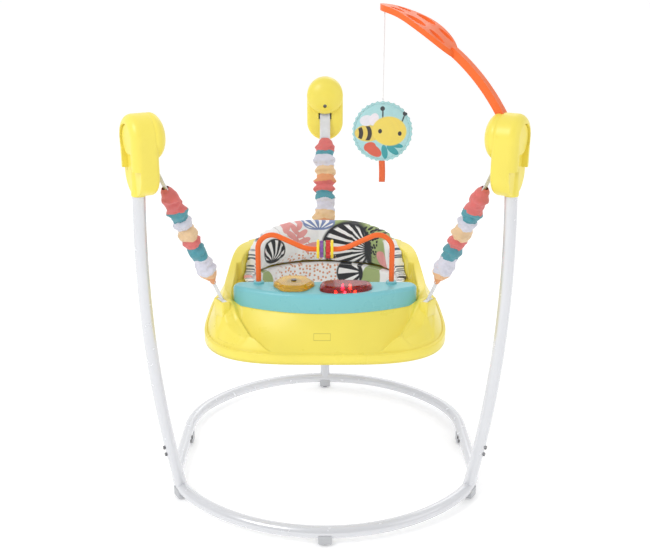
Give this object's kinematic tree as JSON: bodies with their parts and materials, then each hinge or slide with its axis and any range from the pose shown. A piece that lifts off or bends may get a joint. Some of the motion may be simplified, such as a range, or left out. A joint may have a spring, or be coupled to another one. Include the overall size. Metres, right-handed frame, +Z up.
{
  "type": "activity jumper",
  "caption": "Free-standing baby jumper with a tube base, spring towers, a bouncing toy tray with a padded seat, and an overhead hanging toy.",
  "frame": {"origin": "centre of the object's footprint box, on the floor", "axes": "+Z up, the child faces -Y, +X to the right when looking along +Y"},
  "size_m": [0.7828, 0.8057, 1.034],
  "materials": {
    "painted_tube": "glossy silver-white paint on round steel tube",
    "bare_tube": "bare steel inside the tube joints",
    "grey_plastic": "pale grey moulded feet",
    "dark_rubber": "grey rubber foot tips",
    "screw_steel": "dark plated screws, pins and axle",
    "yellow_shell": "smooth satin-gloss yellow moulding",
    "orange_plastic": "smooth orange moulding",
    "teal_plastic": "smooth teal moulding",
    "white_cord": "thin braided white cord",
    "toy_fabric": "printed plush disc with a pinked edge",
    "ribbon": "woven ribbon",
    "webbing": "flat woven polyester webbing",
    "cover_fabric": "scrunched colour-blocked cotton sleeve",
    "spring_steel": "spring wire",
    "white_plastic": "white moulded hooks and seat ring",
    "seat_print": "white padded cotton with a leaf print",
    "sling_fabric": "woven seat cloth",
    "yellow_bead": "smooth yellow bead",
    "purple_bead": "smooth purple bead",
    "green_bead": "smooth green bead",
    "red_bead": "smooth red bead",
    "clear_yellow": "clear yellow moulding",
    "clear_red": "clear red moulding",
    "leaf_green": "green moulding",
    "lamp_lens": "diffused lamp lenses",
    "circuit": "green circuit board",
    "black_plastic": "black moulding",
    "cell_wrap": "battery wrap"
  },
  "bodies": {
    "frame": {"front_base_tube": "painted_tube", "back_base_tube": "painted_tube", "leg_stub_left": "painted_tube", "leg_stub_right": "painted_tube", "leg_stub_back": "painted_tube", "leg_tube_left": "painted_tube", "leg_tube_right": "painted_tube", "leg_tube_back": "painted_tube", "tube_spigots": "bare_tube", "frame_screws": "screw_steel", "base_feet": "grey_plastic", "foot_tips": "dark_rubber", "tower_outer_shell_left": "yellow_shell", "tower_outer_shell_right": "yellow_shell", "tower_outer_shell_back": "yellow_shell", "tower_inner_shell_left": "yellow_shell", "tower_inner_shell_right": "yellow_shell", "tower_inner_shell_back": "yellow_shell", "tower_hub_discs": "yellow_shell", "strap_pins": "screw_steel", "tower_screws": "screw_steel", "mast_arm": "orange_plastic", "mast_eyelet": "orange_plastic", "upper_straps": "webbing", "bounce_springs": "spring_steel", "spring_cover_left": "cover_fabric", "spring_cover_right": "cover_fabric", "spring_cover_back": "cover_fabric"},
    "toy_cord_swing": {"toy_cord": "white_cord", "toy_loop": "white_cord"},
    "toy": {"hanging_toy": "toy_fabric", "toy_ribbon": "ribbon"},
    "seat": {"lower_straps": "webbing", "tray_hooks": "white_plastic", "tray_shell": "yellow_shell", "tray_underside": "white_plastic", "battery_door": "white_plastic", "tray_screws": "screw_steel", "seat_ring": "white_plastic", "seat_pad": "seat_print", "seat_sling": "sling_fabric", "console_shell": "teal_plastic", "bar_collars": "teal_plastic", "bead_bar": "orange_plastic", "spinner_axle": "screw_steel", "lamps": "lamp_lens", "button_spring": "spring_steel", "circuit_board": "circuit", "speaker": "black_plastic", "battery_box": "black_plastic", "batteries": "cell_wrap"},
    "spinner": {"spinner_flower": "clear_yellow", "spinner_core": "leaf_green"},
    "push_dome": {"button_dome": "clear_red"},
    "bead_yellow_left": {"bead_yellow_left": "yellow_bead"},
    "bead_purple": {"bead_purple": "purple_bead"},
    "bead_green": {"bead_green": "green_bead"},
    "bead_red": {"bead_red": "red_bead"},
    "bead_yellow_right": {"bead_yellow_right": "yellow_bead"}
  },
  "joints": [
    {"name": "seat_bounce", "type": "slide", "parent": "frame", "child": "seat", "axis": [0, 0, 1], "range_m": [-0.09, 0.03], "stiffness_N_per_m": 1500, "springref_m": 0.0291, "deforming": ["spring_cover_left", "spring_cover_right", "spring_cover_back", "bounce_springs", "upper_straps"]},
    {"name": "toy_swing", "type": "hinge", "parent": "frame", "child": "toy_cord_swing", "pos_m": [0.11724, -0.1013, 1.0218], "axis": [0, 1, 0], "range_deg": [-20, 20]},
    {"name": "toy_twist", "type": "hinge", "parent": "toy_cord_swing", "child": "toy", "pos_m": [0.11724, -0.1013, 1.0218], "axis": [0, 0, 1], "continuous": true},
    {"name": "spinner_turn", "type": "hinge", "parent": "seat", "child": "spinner", "pos_m": [-0.0655, -0.14795, 0.466], "axis": [0, 0, 1], "continuous": true},
    {"name": "dome_push", "type": "slide", "parent": "seat", "child": "push_dome", "axis": [0, 0, -1], "range_m": [0, 0.003], "stiffness_N_per_m": 400, "springref_m": -0.002, "deforming": ["button_spring"]},
    {"name": "bead_yellow_left_turn", "type": "hinge", "parent": "seat", "child": "bead_yellow_left", "pos_m": [0, -0.13045, 0.541], "axis": [1, 0, 0], "continuous": true},
    {"name": "bead_purple_turn", "type": "hinge", "parent": "seat", "child": "bead_purple", "pos_m": [0, -0.13045, 0.541], "axis": [1, 0, 0], "continuous": true},
    {"name": "bead_green_turn", "type": "hinge", "parent": "seat", "child": "bead_green", "pos_m": [0, -0.13045, 0.541], "axis": [1, 0, 0], "continuous": true},
    {"name": "bead_red_turn", "type": "hinge", "parent": "seat", "child": "bead_red", "pos_m": [0, -0.13045, 0.541], "axis": [1, 0, 0], "continuous": true},
    {"name": "bead_yellow_right_turn", "type": "hinge", "parent": "seat", "child": "bead_yellow_right", "pos_m": [0, -0.13045, 0.541], "axis": [1, 0, 0], "continuous": true}
  ]
}
